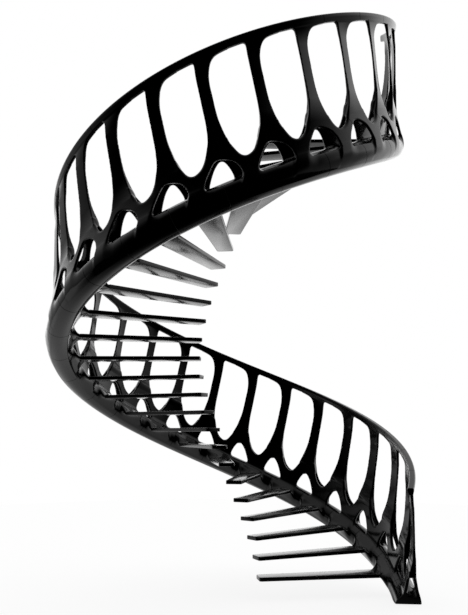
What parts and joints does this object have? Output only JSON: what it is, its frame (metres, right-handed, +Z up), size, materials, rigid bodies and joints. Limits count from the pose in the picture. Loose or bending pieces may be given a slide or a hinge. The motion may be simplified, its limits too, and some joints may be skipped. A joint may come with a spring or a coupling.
{
  "type": "helical staircase",
  "caption": "Free-standing helical staircase: slim treads cantilever inward from a curved tube stringer below an organic ribbed guard with a handrail.",
  "frame": {"origin": "centre of the foot's flat face, on the floor", "axes": "+Z up; +X away from the helix axis at the foot; the flight climbs counter-clockwise seen from above"},
  "size_m": [3.2678, 3.2628, 5.4328],
  "materials": {
    "frame_lacquer": "high-gloss black lacquer on moulded composite",
    "tread_lacquer": "glossy black lacquer on slim treads"
  },
  "bodies": {
    "root": {"start_module": "frame_lacquer", "balustrade_module_01": "frame_lacquer", "balustrade_module_02": "frame_lacquer", "balustrade_module_03": "frame_lacquer", "balustrade_module_04": "frame_lacquer", "balustrade_module_05": "frame_lacquer", "balustrade_module_06": "frame_lacquer", "balustrade_module_07": "frame_lacquer", "balustrade_module_08": "frame_lacquer", "balustrade_module_09": "frame_lacquer", "balustrade_module_10": "frame_lacquer", "balustrade_module_11": "frame_lacquer", "balustrade_module_12": "frame_lacquer", "balustrade_module_13": "frame_lacquer", "balustrade_module_14": "frame_lacquer", "balustrade_module_15": "frame_lacquer", "balustrade_module_16": "frame_lacquer", "balustrade_module_17": "frame_lacquer", "balustrade_module_18": "frame_lacquer", "balustrade_module_19": "frame_lacquer", "balustrade_module_20": "frame_lacquer", "balustrade_module_21": "frame_lacquer", "balustrade_module_22": "frame_lacquer", "balustrade_module_23": "frame_lacquer", "balustrade_module_24": "frame_lacquer", "balustrade_module_25": "frame_lacquer", "balustrade_module_26": "frame_lacquer", "balustrade_module_27": "frame_lacquer", "treads_01_02": "tread_lacquer", "treads_03_04": "tread_lacquer", "treads_05_06": "tread_lacquer", "treads_07_08": "tread_lacquer", "treads_09_10": "tread_lacquer", "treads_11_12": "tread_lacquer", "treads_13_14": "tread_lacquer", "treads_15_16": "tread_lacquer", "treads_17_18": "tread_lacquer", "treads_19_20": "tread_lacquer", "treads_21_22": "tread_lacquer", "treads_23_24": "tread_lacquer", "treads_25_26": "tread_lacquer"}
  },
  "joints": []
}
